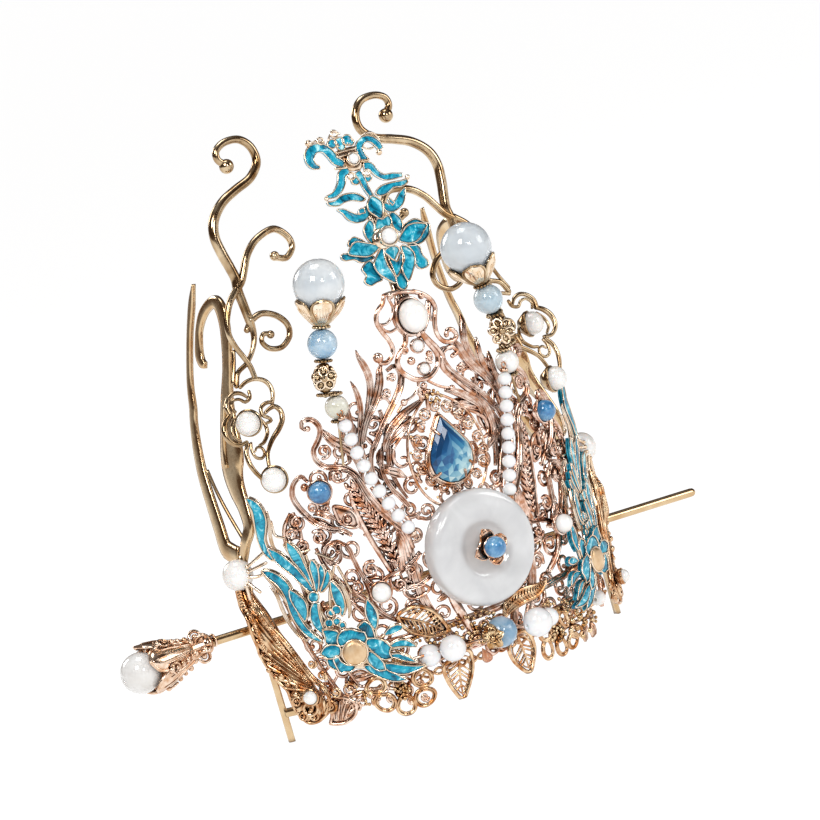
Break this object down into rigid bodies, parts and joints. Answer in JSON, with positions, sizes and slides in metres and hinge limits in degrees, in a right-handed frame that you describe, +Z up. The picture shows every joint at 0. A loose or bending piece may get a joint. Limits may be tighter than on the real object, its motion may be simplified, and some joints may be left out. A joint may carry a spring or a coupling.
{
  "type": "hair crown",
  "caption": "Open-backed filigree hair crown with enamel wings, a jade disc, bead stems, curling vines and a long hairpin that slides out sideways.",
  "frame": {"origin": "centre of the bun seat on the base plane, between the two side posts", "axes": "+X along the hairpin towards its free end, +Y towards the back of the head, +Z up out of the hair"},
  "size_m": [0.1871, 0.069, 0.1612],
  "materials": {
    "rose_gold": "polished rose-gold plating",
    "champagne_gold": "smooth pale gold plating",
    "blue_enamel": "glossy enamel in thin metal rims",
    "milk_jade": "polished translucent milky stone",
    "pearl": "pearl lustre",
    "white_shell": "smooth white shell",
    "blue_chalcedony": "polished pale blue stone",
    "blue_stone": "polished mid-blue stone",
    "blue_gem": "faceted glass",
    "amber": "polished amber glass"
  },
  "bodies": {
    "crown": {"base_rail": "rose_gold", "front_panel": "rose_gold", "side_frame_L": "champagne_gold", "side_frame_R": "champagne_gold", "vine_L": "rose_gold", "vine_R": "rose_gold", "butterfly_L": "rose_gold", "butterfly_R": "rose_gold", "braid_L": "rose_gold", "braid_R": "rose_gold", "leaf_low_L": "rose_gold", "leaf_low_R": "rose_gold", "leaf_mid_L": "rose_gold", "arc_leaf_R": "rose_gold", "flower_L": "rose_gold", "flower_R": "rose_gold", "crest": "blue_enamel", "top_lotus": "blue_enamel", "top_pearl": "pearl", "wing_L": "blue_enamel", "wing_R": "blue_enamel", "lotus_L": "blue_enamel", "lotus_R": "blue_enamel", "stem_L": "rose_gold", "stem_R": "rose_gold", "tip_bead_L": "milk_jade", "tip_bead_R": "milk_jade", "blue_bead_L": "blue_chalcedony", "blue_bead_R": "blue_chalcedony", "pale_bead_L": "milk_jade", "pale_bead_R": "pearl", "string_L": "white_shell", "string_R": "white_shell", "jade_disc": "milk_jade", "disc_flower": "rose_gold", "disc_bead": "blue_stone", "gem_setting": "rose_gold", "gem": "blue_gem", "oval_pearl": "pearl", "small_pearls": "pearl", "knot_pearl_L": "pearl", "knot_pearl_R": "pearl", "bezel_pearl_L": "pearl", "bezel_pearl_R": "pearl", "blue_cab_L": "blue_stone", "blue_cab_R": "blue_stone", "small_cab_L": "pearl", "small_cab_R": "pearl", "side_pearl_L": "pearl", "side_pearl_R": "pearl", "base_blue_bead": "blue_chalcedony", "base_pearl_L": "pearl", "base_pearl_R": "pearl", "base_pearl_S": "pearl", "base_pearl_T": "pearl", "base_pearl_U": "pearl", "amber_drop": "amber"},
    "hairpin": {"pin_rod": "champagne_gold", "pin_bead": "milk_jade"}
  },
  "joints": [
    {"name": "hairpin_slide", "type": "slide", "parent": "crown", "child": "hairpin", "axis": [-0.9985, 0, 0.0541], "range_m": [-0.01, 0.16]}
  ]
}
